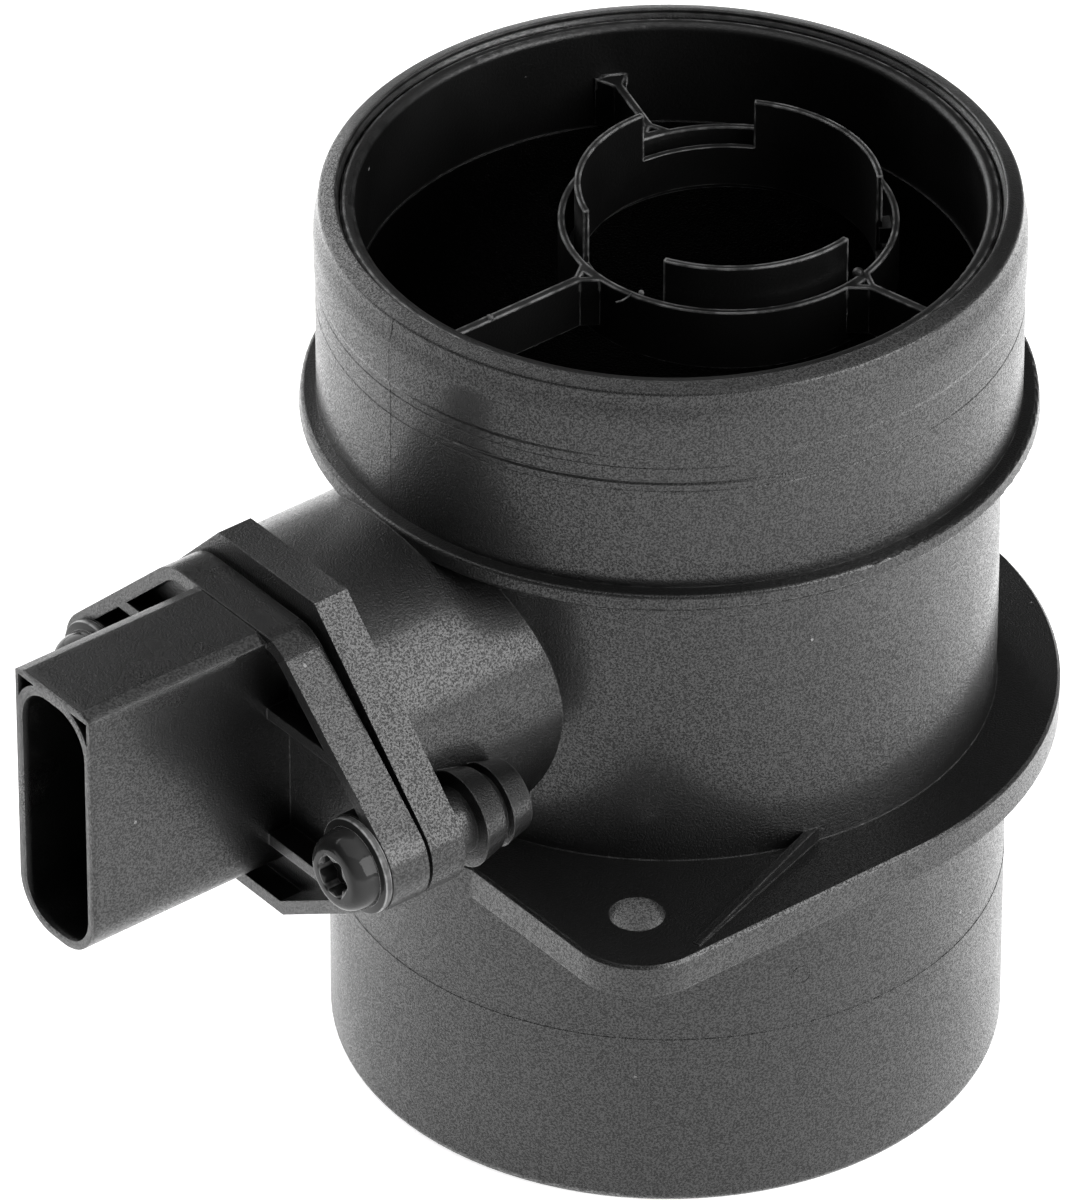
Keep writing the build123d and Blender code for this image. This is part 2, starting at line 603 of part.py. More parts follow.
# ================= flange-head screws =================
screws = []
for name, side in (("screw_near", -1), ("screw_far", 1)):
    with BuildPart() as screw:
        with BuildSketch(Plane.YZ.offset(FLANGE_FRONT_X)):
            with Locations((side * SCREW_Y, SCREW_Z)):
                Circle(HEAD_WASHER_R)
        extrude(amount=-HEAD_WASHER_T)
        with Locations((FLANGE_FRONT_X - HEAD_WASHER_T - HEAD_H / 2, side * SCREW_Y, SCREW_Z)):
            Cone(HEAD_TOP_R, HEAD_R, HEAD_H, rotation=(0, 90, 0))
        head_edge = screw.edges().filter_by(
            lambda e: e.center().X < FLANGE_FRONT_X - HEAD_WASHER_T - HEAD_H + 0.01
        )
        chamfer(head_edge, 0.45)
        washer_edge = screw.edges().filter_by(
            lambda e: e.geom_type == GeomType.CIRCLE and e.radius > HEAD_WASHER_R - 0.01
            and e.center().X < FLANGE_FRONT_X - 0.5
        )
        chamfer(washer_edge, 0.25)
        # six-lobe drive
        with BuildSketch(Plane.YZ.offset(FLANGE_FRONT_X - HEAD_WASHER_T - HEAD_H)):
            with Locations((side * SCREW_Y, SCREW_Z)):
                Circle(DRIVE_R * 0.78)
                with PolarLocations(DRIVE_R * 0.72, 6):
                    Circle(DRIVE_R * 0.28)
        extrude(amount=DRIVE_D, mode=Mode.SUBTRACT)
        with BuildSketch(Plane.YZ.offset(FLANGE_FRONT_X)):
            with Locations((side * SCREW_Y, SCREW_Z)):
                Circle(PILOT_R - SEAT)
        extrude(amount=SCREW_L)
    screw.part.label = name
    screws.append(screw.part)

tube_housing.part.label = "tube_housing"
flow_insert.part.label = "flow_insert"
metering_sleeve.part.label = "metering_sleeve"
sensor_housing.part.label = "sensor_housing"
neck_seal.part.label = "neck_seal"
base_plate.part.label = "base_plate"
circuit_board.part.label = "circuit_board"
chip_carrier.part.label = "chip_carrier"
sensing_chip.part.label = "sensing_chip"
gel_fill.part.label = "gel_fill"
electronics_cover.part.label = "electronics_cover"
bypass_cover.part.label = "bypass_cover"
temperature_bead.part.label = "temperature_bead"

os.makedirs("parts", exist_ok=True)
export_step(tube_housing.part, "parts/tube_housing.step")
export_step(flow_insert.part, "parts/flow_insert.step")
export_step(metering_sleeve.part, "parts/metering_sleeve.step")
export_step(sensor_housing.part, "parts/sensor_housing.step")
export_step(neck_seal.part, "parts/neck_seal.step")
export_step(base_plate.part, "parts/base_plate.step")
export_step(circuit_board.part, "parts/circuit_board.step")
export_step(chip_carrier.part, "parts/chip_carrier.step")
export_step(sensing_chip.part, "parts/sensing_chip.step")
export_step(gel_fill.part, "parts/gel_fill.step")
export_step(electronics_cover.part, "parts/electronics_cover.step")
export_step(bypass_cover.part, "parts/bypass_cover.step")
export_step(temperature_bead.part, "parts/temperature_bead.step")
for piece in pins + screws:
    export_step(piece, f"parts/{piece.label}.step")
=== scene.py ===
"""Looks of the mass airflow sensor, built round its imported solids."""

import json
import logging
import math
from dataclasses import dataclass, field
from enum import Enum

import bmesh
import bpy
from bpy.types import ID, Material, Node, NodeSocket, NodeTree, Object
from mathutils import Matrix, Vector

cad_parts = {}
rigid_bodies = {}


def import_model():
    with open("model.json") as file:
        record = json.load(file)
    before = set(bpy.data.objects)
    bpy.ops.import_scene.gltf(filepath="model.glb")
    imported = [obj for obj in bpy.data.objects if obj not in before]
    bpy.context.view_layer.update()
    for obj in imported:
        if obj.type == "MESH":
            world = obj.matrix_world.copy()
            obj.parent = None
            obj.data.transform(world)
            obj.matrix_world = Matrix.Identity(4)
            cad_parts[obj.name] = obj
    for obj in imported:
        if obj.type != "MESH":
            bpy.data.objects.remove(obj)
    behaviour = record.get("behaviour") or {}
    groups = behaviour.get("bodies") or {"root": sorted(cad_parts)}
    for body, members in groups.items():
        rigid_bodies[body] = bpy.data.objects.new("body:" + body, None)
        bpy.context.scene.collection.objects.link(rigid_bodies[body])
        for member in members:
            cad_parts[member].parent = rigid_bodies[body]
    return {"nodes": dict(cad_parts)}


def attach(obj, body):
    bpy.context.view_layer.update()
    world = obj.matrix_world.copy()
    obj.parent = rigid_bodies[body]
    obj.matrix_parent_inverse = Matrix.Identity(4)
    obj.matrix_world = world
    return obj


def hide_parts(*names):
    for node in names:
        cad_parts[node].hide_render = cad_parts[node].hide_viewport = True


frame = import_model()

MM = 0.001
LOG = logging.getLogger("airflow_sensor")
Pair = tuple[float, float]
Point = tuple[float, float, float]
Colour = tuple[float, float, float]
Pairs = tuple[Pair, ...]
Path = tuple[Point, ...]
Sockets = tuple[NodeSocket, ...]
Inputs = dict[str, object]


def grey(level: float) -> Colour:
    """Makes a neutral colour."""
    return (level, level, level)


class Slot(Enum):
    """Material slots of the record."""

    HOUSING = "housing_plastic"
    INSERT = "insert_plastic"
    SENSOR = "sensor_plastic"
    COVER = "cover_plastic"
    SEAL = "seal_rubber"
    SCREW = "screw_steel"
    PIN = "pin_tin"
    CARRIER = "carrier_metal"
    BOARD = "board_ceramic"
    CHIP = "chip_silicon"
    GEL = "gel_clear"
    BEAD = "bead_glass"


# ---- shader building ----


@dataclass
class ShaderTree:
    """Adds and joins nodes in the tree of a material, a world or a group."""

    tree: NodeTree

    def add(self, kind: str, **settings: object) -> Node:
        """Adds one node.

        Args:
            kind: the node's type name without the ShaderNode prefix.
            settings: node properties to set.

        Returns:
            The new node.
        """
        node = self.tree.nodes.new(kind if kind.startswith("NodeGroup") else "ShaderNode" + kind)
        for key, value in settings.items():
            setattr(node, key, value)
        return node

    def declare(self, label: str, side: str, kind: str, value: object = None) -> str:
        """Gives a group's tree one more socket.

        Args:
            label: the socket's name.
            side: INPUT or OUTPUT.
            kind: the socket's type name without the NodeSocket prefix.
            value: its default value, if it has one.

        Returns:
            The socket's identifier.
        """
        kind = "NodeSocket" + kind
        socket = self.tree.interface.new_socket(label, in_out=side, socket_type=kind)
        if value is not None:
            socket.default_value = value
        return socket.identifier

    def feed(self, target: NodeSocket, value: object) -> None:
        """Puts a number, a colour or another node's output into an input socket."""
        if isinstance(value, NodeSocket):
            self.tree.links.new(value, target)
        else:
            target.default_value = value

    def fill(self, node: Node, **values: object) -> Node:
        """Feeds a node's inputs by name.

        Args:
            node: the node.
            values: constants or sockets by input name, with spaces written as underscores.

        Returns:
            The same node.
        """
        for label, value in values.items():
            self.feed(node.inputs[label.replace("_", " ")], value)
        return node

    def math(self, operation: str, first: object, second: object = 0.0) -> NodeSocket:
        """Adds a Math node.

        Args:
            operation: the node's operation.
            first: a number or a socket.
            second: a number or a socket.

        Returns:
            The result socket.
        """
        node = self.add("Math", operation=operation)
        self.feed(node.inputs[0], first)
        self.feed(node.inputs[1], second)
        return node.outputs[0]

    def plus(self, first: object, second: object) -> NodeSocket:
        """Adds two numbers or sockets."""
        return self.math("ADD", first, second)

    def minus(self, first: object, second: object) -> NodeSocket:
        """Takes the second number or socket from the first."""
        return self.math("SUBTRACT", first, second)

    def times(self, first: object, second: object) -> NodeSocket:
        """Multiplies two numbers or sockets."""
        return self.math("MULTIPLY", first, second)

    def apart(self, first: object, second: object) -> NodeSocket:
        """Measures how far two numbers or sockets are apart."""
        return self.math("ABSOLUTE", self.minus(first, second))

    def reach(self, across: NodeSocket, along: NodeSocket) -> NodeSocket:
        """Measures the distance from the origin of a plane."""
        squares = self.plus(self.times(across, across), self.times(along, along))
        return self.math("SQRT", squares)

    def split(self, vector: NodeSocket) -> tuple[NodeSocket, NodeSocket, NodeSocket]:
        """Takes a vector apart into its X, Y and Z."""
        parts = self.add("SeparateXYZ")
        self.feed(parts.inputs[0], vector)
        return parts.outputs["X"], parts.outputs["Y"], parts.outputs["Z"]

    def remap(
        self, value: object, low: object, high: object, to_low: float = 0.0, to_high: float = 1.0
    ) -> NodeSocket:
        """Adds a smooth Map Range node.

        Args:
            value: the socket or number to map.
            low: start of the source range.
            high: end of the source range.
            to_low: start of the target range.
            to_high: end of the target range.

        Returns:
            The mapped value.
        """
        node = self.add("MapRange", interpolation_type="SMOOTHSTEP")
        for socket, number in zip(node.inputs[:5], (value, low, high, to_low, to_high)):
            self.feed(socket, number)
        return node.outputs["Result"]

    def blend(self, factor: object, first: object, second: object) -> NodeSocket:
        """Mixes two colours or sockets; the factor is the share of the second."""
        node = self.add("Mix", data_type="RGBA")
        self.feed(node.inputs[0], factor)
        for socket, colour in ((node.inputs[6], first), (node.inputs[7], second)):
            self.feed(socket, (*colour, 1.0) if isinstance(colour, tuple) else colour)
        return node.outputs[2]

    def noise(self, vector: NodeSocket, scale: object, detail: float = 3.0) -> NodeSocket:
        """Adds a Noise Texture, with detail in octaves, and takes its value."""
        node = self.fill(self.add("TexNoise"), Vector=vector, Scale=scale, Detail=detail)
        return node.outputs["Fac"]


class EffectGroup:
    """A shader node group with named sockets, built once and used by many materials."""

    name: str
    numbers: dict[str, float]
    results: tuple[str, ...]

    def __init__(self) -> None:
        """Builds the group's sockets and its nodes."""
        self.group = bpy.data.node_groups.new(self.name, "ShaderNodeTree")
        kit = ShaderTree(self.group)
        kit.declare("Position", "INPUT", "Vector")
        for label, number in self.numbers.items():
            kit.declare(label, "INPUT", "Float", number)
        for label in self.results:
            kit.declare(label, "OUTPUT", "Float")
        entry, leave = kit.add("NodeGroupInput"), kit.add("NodeGroupOutput")
        for label, result in zip(self.results, self.wire(kit, entry.outputs)):
            kit.feed(leave.inputs[label], result)

    def wire(self, kit: ShaderTree, given: Inputs) -> Sockets:
        """Fills the group; each effect has its own.

        Args:
            kit: the group's tree.
            given: the group's inputs by name.

        Returns:
            One socket for each result.
        """
        raise NotImplementedError


class MouldGrain(EffectGroup):
    """Spark-eroded grain of a moulded part: fine pits over a slow waviness."""

    name = "mould_grain"
    numbers = {"Pit Scale": 3200.0, "Wave Scale": 60.0}
    results = ("Height", "Wave", "Pits")
    grit_finer, grit_share = 2.3, 0.4
    pit_range = (0.35, 0.65)

    def wire(self, kit: ShaderTree, given: Inputs) -> Sockets:
        """Joins pits, finer grit and a slow wave."""
        position, scale = given["Position"], given["Pit Scale"]
        pits = kit.noise(position, scale, 2.0)
        grit = kit.noise(position, kit.times(scale, self.grit_finer), 1.0)
        wave = kit.noise(position, given["Wave Scale"], 2.0)
        height = kit.plus(pits, kit.times(grit, self.grit_share))
        return height, wave, kit.remap(pits, *self.pit_range)


class EdgeWearHighlight(EffectGroup):
    """Mask of lighter edges, part wear and part painted highlight, broken up by noise."""

    name = "edge_wear"
    numbers = {"Radius": 0.0004, "Break Scale": 500.0}
    results = ("RubHighlight",)
    bevel_samples = 4
    edge_range = (0.995, 0.90)
    break_range = (0.35, 0.62)
    least_highlight = 0.15

    def wire(self, kit: ShaderTree, given: Inputs) -> Sockets:
        """Compares the rounded normal with the true one."""
        rounded = kit.fill(kit.add("Bevel", samples=self.bevel_samples), Radius=given["Radius"])
        dot = kit.add("VectorMath", operation="DOT_PRODUCT")
        kit.feed(dot.inputs[0], rounded.outputs[0])
        kit.feed(dot.inputs[1], kit.add("NewGeometry").outputs["Normal"])
        edge = kit.remap(dot.outputs["Value"], *self.edge_range)
        noise = kit.noise(given["Position"], given["Break Scale"])
        return (kit.times(edge, kit.remap(noise, *self.break_range, self.least_highlight)),)


class Dust(EffectGroup):
    """Sparse pale specks."""

    name = "dust_specks"
    numbers = {"Speck Scale": 420.0, "Amount": 0.06}
    results = ("Specks",)
    speck_size = 0.11

    def wire(self, kit: ShaderTree, given: Inputs) -> Sockets:
        """Keeps a few cells of a Voronoi pattern and shrinks each to a speck."""
        cells = kit.add("TexVoronoi")
        kit.fill(cells, Vector=given["Position"], Scale=given["Speck Scale"])
        chosen = kit.add("SeparateColor")
        kit.feed(chosen.inputs[0], cells.outputs["Color"])
        few = kit.math("LESS_THAN", chosen.outputs[0], given["Amount"])
        size = kit.times(chosen.outputs[1], self.speck_size)
        near = kit.math("LESS_THAN", cells.outputs["Distance"], size)
        return (kit.times(few, near),)


class BoreShade(EffectGroup):
    """Mask of the smooth wall inside the tube, by distance from its axis, where the finishes paint
    shade.
    """

    name = "bore_shade"
    numbers = {"Bore Radius": 0.0392}
    results = ("Bore",)

    def wire(self, kit: ShaderTree, given: Inputs) -> Sockets:
        """Measures each point's distance from the tube axis."""
        across, along, _ = kit.split(given["Position"])
        return (kit.math("LESS_THAN", kit.reach(across, along), given["Bore Radius"]),)


class SoftEdge(EffectGroup):
    """Edge radius that grows past a plane: round edges on one end of a part, crisp elsewhere."""

    name = "soft_edge"
    numbers = {"Along X": 0.0, "Along Z": 0.0, "Start": 0.0, "Crisp": 0.0003, "Soft": 0.0003}
    results = ("Radius",)
    fade = 0.0005

    def wire(self, kit: ShaderTree, given: Inputs) -> Sockets:
        """Measures each point along the given direction and blends the two radii."""
        x, _, z = kit.split(given["Position"])
        way = kit.plus(kit.times(x, given["Along X"]), kit.times(z, given["Along Z"]))
        past = kit.remap(way, given["Start"], kit.plus(given["Start"], self.fade))
        extra = kit.times(past, kit.minus(given["Soft"], given["Crisp"]))
        return (kit.plus(given["Crisp"], extra),)


class RingHighlight(EffectGroup):
    """Painted highlight rings round the axes of two fixings along X, one each side of Y = 0."""

    name = "ring_wear"
    numbers = {
        "Axis Y": 0.0252, "Axis Z": 0.0655,
        "Outer Ring": 0.006, "Inner Ring": 0.0026, "Half Width": 0.00014,
    }
    results = ("Rings",)
    break_scale = 700.0
    break_range = (0.3, 0.6)
    least_highlight = 0.25

    def wire(self, kit: ShaderTree, given: Inputs) -> Sockets:
        """Measures the distance from the nearer axis and keeps two narrow ranges of it."""
        _, y, z = kit.split(given["Position"])
        across = kit.minus(kit.math("ABSOLUTE", y), given["Axis Y"])
        reach = kit.reach(across, kit.minus(z, given["Axis Z"]))
        rings = [
            kit.remap(kit.apart(reach, given[label]), 0.0, given["Half Width"], 1.0, 0.0)
            for label in ("Outer Ring", "Inner Ring")
        ]
        noise = kit.noise(given["Position"], self.break_scale)
        broken = kit.remap(noise, *self.break_range, self.least_highlight)
        return (kit.times(kit.math("MAXIMUM", *rings), broken),)


class Effects:
    """The shared effect groups."""

    def __init__(self) -> None:
        """Builds each group once."""
        self.grain, self.wear, self.dust = MouldGrain(), EdgeWearHighlight(), Dust()
        self.bore, self.soft, self.rings = BoreShade(), SoftEdge(), RingHighlight()


# ---- finishes ----


@dataclass
class MaterialTree(ShaderTree):
    """A material's tree, with the shared effects and the Object coordinates at hand."""

    effects: Effects
    position: NodeSocket = field(init=False)

    def __post_init__(self) -> None:
        """Adds the Object coordinates."""
        self.position = self.add("TexCoord").outputs["Object"]

    def place(self, effect: EffectGroup, **values: object) -> Inputs:
        """Puts an effect group in the material.

        Args:
            effect: the group.
            values: its inputs, as fill takes them.

        Returns:
            The group's results by name.
        """
        node = self.add("Group", node_tree=effect.group)
        return self.fill(node, Position=self.position, **values).outputs


@dataclass(frozen=True)
class Finish:
    """What the finishes share: each makes one material out of a Principled node."""

    name: str

    def build(self, effects: Effects) -> Material:
        """Makes the material.

        Args:
            effects: the shared effect groups.

        Returns:
            The finished material.
        """
        material = bpy.data.materials.new(self.name)
        material.use_nodes = True
        kit = MaterialTree(material.node_tree, effects)
        kit.fill(material.node_tree.nodes["Principled BSDF"], **self.inputs(kit))
        return material

    def inputs(self, kit: MaterialTree) -> Inputs:
        """Works out what goes into the Principled node.

        Args:
            kit: the material's tree.

        Returns:
            The node's inputs, as fill takes them.
        """
        raise NotImplementedError


@dataclass(frozen=True)
class MouldedPlastic(Finish):
    """Black glass-filled plastic with a spark-eroded grain, smoother in the bore and darkened there
    by painted shade, with edges lightened by wear and painted highlight.
    """

    tone: Colour
    rub_highlight_tone: Colour
    roughness: float
    roughness_swing: float = 0.06
    wave_range: Pair = (0.3, 0.7)
    specular: float = 0.5
    pit_scale: float = 3200.0
    pit_height: float = 0.00012
    pit_shade: float = 0.72
    wave_scale: float = 60.0
    wave_shade: float = 0.35
    edge_radius: float = 0.0003
    edge_samples: int = 5
    rub_highlight: float = 0.5
    rub_highlight_reach: float = 0.0004
    dust: float = 0.02
    dust_tone: Colour = grey(0.2)
    speck_scale: float = 420.0
    bore_depth: float = 0.0
    bore_shade_tone: Colour = grey(0.001)
    bore_polish: float = 0.5
    coat_low: float = 0.1
    coat_high: float = 0.92
    coat_roughness: float = 0.24
    soft_way: Pair = (0.0, 0.0)
    soft_start: float = 1.0
    soft_radius: float = 0.0003

    def inputs(self, kit: MaterialTree) -> Inputs:
        """Grains the tone and the coat, lightens the edges with wear and painted highlight, and
        paints shade in the bore.
        """
        grain = kit.place(kit.effects.grain, Pit_Scale=self.pit_scale, Wave_Scale=self.wave_scale)
        soft = self.soft_edge(kit)
        rub_highlight = kit.place(kit.effects.wear, Radius=kit.math("MINIMUM", soft, self.rub_highlight_reach))["RubHighlight"]
        dust = kit.place(kit.effects.dust, Amount=self.dust, Speck_Scale=self.speck_scale)
        bore = kit.place(kit.effects.bore)["Bore"]
        darker = tuple(self.pit_shade * part for part in self.tone)
        tone = kit.blend(grain["Pits"], darker, self.tone)
        waved = kit.blend(kit.times(grain["Wave"], self.wave_shade), tone, darker)
        # Edges lighten: part wear, part painted highlight.
        rubbed_and_lit = kit.blend(kit.times(rub_highlight, self.rub_highlight), waved, self.rub_highlight_tone)
        # Painted shade: the tone darkens inside the tube's bore.
        deep = kit.times(bore, self.bore_depth)
        shaded = kit.blend(deep, rubbed_and_lit, self.bore_shade_tone)
        low, high = self.roughness - self.roughness_swing, self.roughness + self.roughness_swing
        rough = kit.remap(grain["Wave"], *self.wave_range, low, high)
        smoother = kit.times(bore, self.bore_polish * self.bore_depth * self.roughness)
        gloss = kit.remap(grain["Pits"], 0.0, 1.0, self.coat_low, self.coat_high)
        rounded = kit.fill(kit.add("Bevel", samples=self.edge_samples), Radius=soft).outputs[0]
        bump = kit.fill(kit.add("Bump"), Distance=self.pit_height, Height=grain["Height"])
        kit.feed(bump.inputs["Normal"], rounded)
        return {
            "Base_Color": kit.blend(dust["Specks"], shaded, self.dust_tone),
            "Roughness": kit.minus(rough, smoother),
            "Specular_IOR_Level": self.specular,
            "Coat_Weight": kit.times(gloss, kit.minus(1.0, deep)),
            "Coat_Roughness": self.coat_roughness,
            "Normal": bump.outputs[0],
        }

    def soft_edge(self, kit: MaterialTree) -> NodeSocket:
        """Places the edge radius that grows past this finish's plane."""
        way = dict(zip(("Along_X", "Along_Z"), self.soft_way))
        radii = {"Crisp": self.edge_radius, "Soft": self.soft_radius}
        return kit.place(kit.effects.soft, Start=self.soft_start, **way, **radii)["Radius"]


@dataclass(frozen=True)
class PlainFinish(Finish):
    """A finish with one tone, mottled, with fine bumps: metal, rubber, ceramic or silicon."""

    tone: Colour
    second_tone: Colour
    roughness: float
    metallic: float = 0.0
    specular: float = 0.5
    scale: float = 900.0
    wave_coarser: float = 9.0
    mottle: float = 0.1
    height: float = 0.00001
    swing: float = 0.25
    edge_radius: float = 0.0001
    rub_highlight: float = 0.4
    ring_highlight: float = 0.0

    def inputs(self, kit: MaterialTree) -> Inputs:
        """Mottles the tone, lightens the edges with wear and painted highlight, and can add painted
        highlight rings.
        """
        waves = self.scale / self.wave_coarser
        grain = kit.place(kit.effects.grain, Pit_Scale=self.scale, Wave_Scale=waves)
        rub_highlight = kit.place(kit.effects.wear, Radius=self.edge_radius)["RubHighlight"]
        tone = kit.blend(kit.times(grain["Wave"], self.mottle), self.tone, self.second_tone)
        # Edges lighten: part wear, part painted highlight.
        edged = kit.blend(kit.times(rub_highlight, self.rub_highlight), tone, self.second_tone)
        # Painted highlight: bright rings on the screws' washer edges and drive rims.
        if self.ring_highlight:
            rings = kit.place(kit.effects.rings)["Rings"]
            edged = kit.blend(kit.times(rings, self.ring_highlight), edged, self.second_tone)
        swing = self.swing * self.roughness
        ends = self.roughness - swing, self.roughness + swing
        bump = kit.fill(kit.add("Bump"), Distance=self.height, Height=grain["Height"])
        return {
            "Base_Color": edged,
            "Roughness": kit.remap(grain["Pits"], 0.0, 1.0, *ends),
            "Metallic": self.metallic,
            "Specular_IOR_Level": self.specular,
            "Normal": bump.outputs[0],
        }


@dataclass(frozen=True)
class ClearFinish(Finish):
    """Clear gel or glass with a slight tint and tiny bubbles in its roughness."""

    tone: Colour
    roughness: float
    ior: float
    pit_scale: float = 1400.0
    wave_scale: float = 200.0
    paler: float = 1.1
    rougher: float = 1.6
    transmission: float = 0.9

    def inputs(self, kit: MaterialTree) -> Inputs:
        """Varies the tint and the roughness a little."""
        grain = kit.place(kit.effects.grain, Pit_Scale=self.pit_scale, Wave_Scale=self.wave_scale)
        paler = tuple(min(1.0, self.paler * part) for part in self.tone)
        ends = self.roughness, self.rougher * self.roughness
        return {
            "Base_Color": kit.blend(grain["Wave"], self.tone, paler),
            "Roughness": kit.remap(grain["Pits"], 0.0, 1.0, *ends),
            "Transmission_Weight": self.transmission,
            "IOR": self.ior,
        }


@dataclass(frozen=True)
class FloorFinish(Finish):
    """Pale matt floor that shows its own tone to camera and glossy rays, but not under the tube."""

    name: str = "pale_floor"
    tones: Pair = (0.88, 0.92)
    noise_scale: float = 40.0
    roughness: float = 0.9
    lift: float = 0.85
    tube_foot: float = 0.039

    def inputs(self, kit: MaterialTree) -> Inputs:
        """Speckles the floor and lifts its tone outside the tube's foot."""
        rays = kit.add("LightPath").outputs
        seen = kit.math("MAXIMUM", rays["Is Camera Ray"], rays["Is Glossy Ray"])
        reach = kit.add("VectorMath", operation="LENGTH")
        kit.feed(reach.inputs[0], kit.position)
        shown = kit.times(seen, kit.math("GREATER_THAN", reach.outputs["Value"], self.tube_foot))
        speckle = kit.noise(kit.position, self.noise_scale)
        return {
            "Base_Color": kit.blend(speckle, *map(grey, self.tones)),
            "Roughness": self.roughness,
            "Specular_IOR_Level": 0.0,
            "Emission_Color": kit.blend(shown, grey(0.0), grey(self.lift)),
            "Emission_Strength": 1.0,
        }


def all_finishes() -> dict[Slot, Finish]:
    """Lists the finish of each material slot."""
    # Painted highlight, part wear: the grey that the lighter edges take.
    rub_highlight_grey = grey(0.10)
    return {
        Slot.HOUSING: MouldedPlastic(
            "satin_black_housing", grey(0.006), rub_highlight_grey, 0.34, specular=0.3, pit_scale=4100.0,
            rub_highlight=0.6, rub_highlight_reach=0.0009, bore_depth=0.95,
            soft_way=(0.0, 1.0), soft_start=0.1160, soft_radius=0.0006,
        ),
        Slot.INSERT: MouldedPlastic(
            "dark_insert", grey(0.003), grey(0.3), 0.4, specular=0.35, pit_height=0.00004,
            edge_radius=0.00012, rub_highlight=0.95, rub_highlight_reach=0.0005, coat_low=0.0, coat_high=0.3,
            soft_way=(0.0, 1.0), soft_start=0.1095, soft_radius=0.0005,
        ),
        Slot.SENSOR: MouldedPlastic(
            "smooth_black_sensor", grey(0.005), rub_highlight_grey, 0.32, specular=0.3, pit_scale=4100.0,
            pit_height=0.00005, dust=0.03,
            soft_way=(-1.0, 0.0), soft_start=0.0705, soft_radius=0.0014,
        ),
        Slot.COVER: MouldedPlastic("cover_black", grey(0.02), rub_highlight_grey, 0.5),
        Slot.SEAL: PlainFinish("seal_rubber_black", grey(0.02), (0.035, 0.034, 0.033), 0.55),
        Slot.SCREW: PlainFinish(
            "black_screw_steel", grey(0.003), grey(0.5), 0.1,
            specular=0.18, scale=1500.0, rub_highlight=0.9, ring_highlight=0.8,
        ),
        Slot.PIN: PlainFinish(
            "tinned_pin", (0.62, 0.61, 0.58), (0.72, 0.71, 0.69), 0.3, 1.0, scale=2200.0
        ),
        Slot.CARRIER: PlainFinish("carrier_aluminium", (0.55, 0.56, 0.57), grey(0.66), 0.36, 1.0),
        Slot.BOARD: PlainFinish("board_ceramic_white", (0.7, 0.69, 0.64), (0.6, 0.59, 0.55), 0.5),
        Slot.CHIP: PlainFinish("chip_silicon_grey", (0.1, 0.1, 0.13), (0.16, 0.15, 0.2), 0.2, 0.7),
        Slot.GEL: ClearFinish("clear_gel", (0.92, 0.9, 0.82), 0.08, 1.41),
        Slot.BEAD: ClearFinish("bead_glass_brown", (0.35, 0.12, 0.08), 0.05, 1.5),
    }


# ---- mesh building ----

WELD = 1e-7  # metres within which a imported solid's vertices are one
SEW = 1e-6  # metres within which the wrapped band's ends are one


def link(name: str, data: ID) -> Object:
    """Links a new object at the origin.

    Args:
        name: the object's name.
        data: its mesh, placed in the row frame, or its camera or lamp.

    Returns:
        The new object.
    """
    piece = bpy.data.objects.new(name, data)
    bpy.context.scene.collection.objects.link(piece)
    return piece


def from_bmesh(name: str, shape: bmesh.types.BMesh) -> Object:
    """Turns a bmesh into a linked object and frees it."""
    mesh = bpy.data.meshes.new(name)
    shape.to_mesh(mesh)
    shape.free()
    return link(name, mesh)


def skin(shape: bmesh.types.BMesh, loops: list[list[Point]]) -> list[list[bmesh.types.BMVert]]:
    """Joins closed loops, each to the next, with quads.

    Args:
        shape: the bmesh.
        loops: the points of each loop, as many in one as in the next.

    Returns:
        The vertices of each loop.
    """
    rows = [[shape.verts.new(point) for point in loop] for loop in loops]
    for first, second in zip(rows, rows[1:]):
        for low in range(len(first)):
            high = (low + 1) % len(first)
            shape.faces.new((first[low], second[low], second[high], first[high]))
    return rows


def bake_modifiers(piece: Object) -> None:
    """Applies an object's modifiers by taking its evaluated mesh."""
    graph = bpy.context.evaluated_depsgraph_get()
    mesh = bpy.data.meshes.new_from_object(piece.evaluated_get(graph))
    old = piece.data
    piece.modifiers.clear()
    piece.data = mesh
    mesh.name = piece.name
    bpy.data.meshes.remove(old)


def smooth_by_angle(piece: Object, degrees: float) -> None:
    """Shades an object smooth except across edges sharper than the angle."""
    mesh = piece.data
    mesh.polygons.foreach_set("use_smooth", [True] * len(mesh.polygons))
    mesh.set_sharp_from_angle(angle=math.radians(degrees))


def copy_solid(node: str, name: str, degrees: float = 32.0) -> Object:
    """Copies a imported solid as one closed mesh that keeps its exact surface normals.

    Args:
        node: the CAD node's name.
        name: the new piece's name.
        degrees: the sharpest edge that stays smooth, where the normals can't be kept.

    Returns:
        The copy, at the origin.
    """
    source = frame["nodes"][node].data
    normals = [tuple(corner.vector) for corner in source.corner_normals]
    shape = bmesh.new()
    shape.from_mesh(source)
    bmesh.ops.remove_doubles(shape, verts=shape.verts, dist=WELD)
    piece = from_bmesh(name, shape)
    if len(piece.data.loops) == len(normals):
        piece.data.normals_split_custom_set(normals)
    else:
        smooth_by_angle(piece, degrees)
    LOG.info("%s: %d of %d corners kept", name, len(piece.data.loops), len(normals))
    return piece


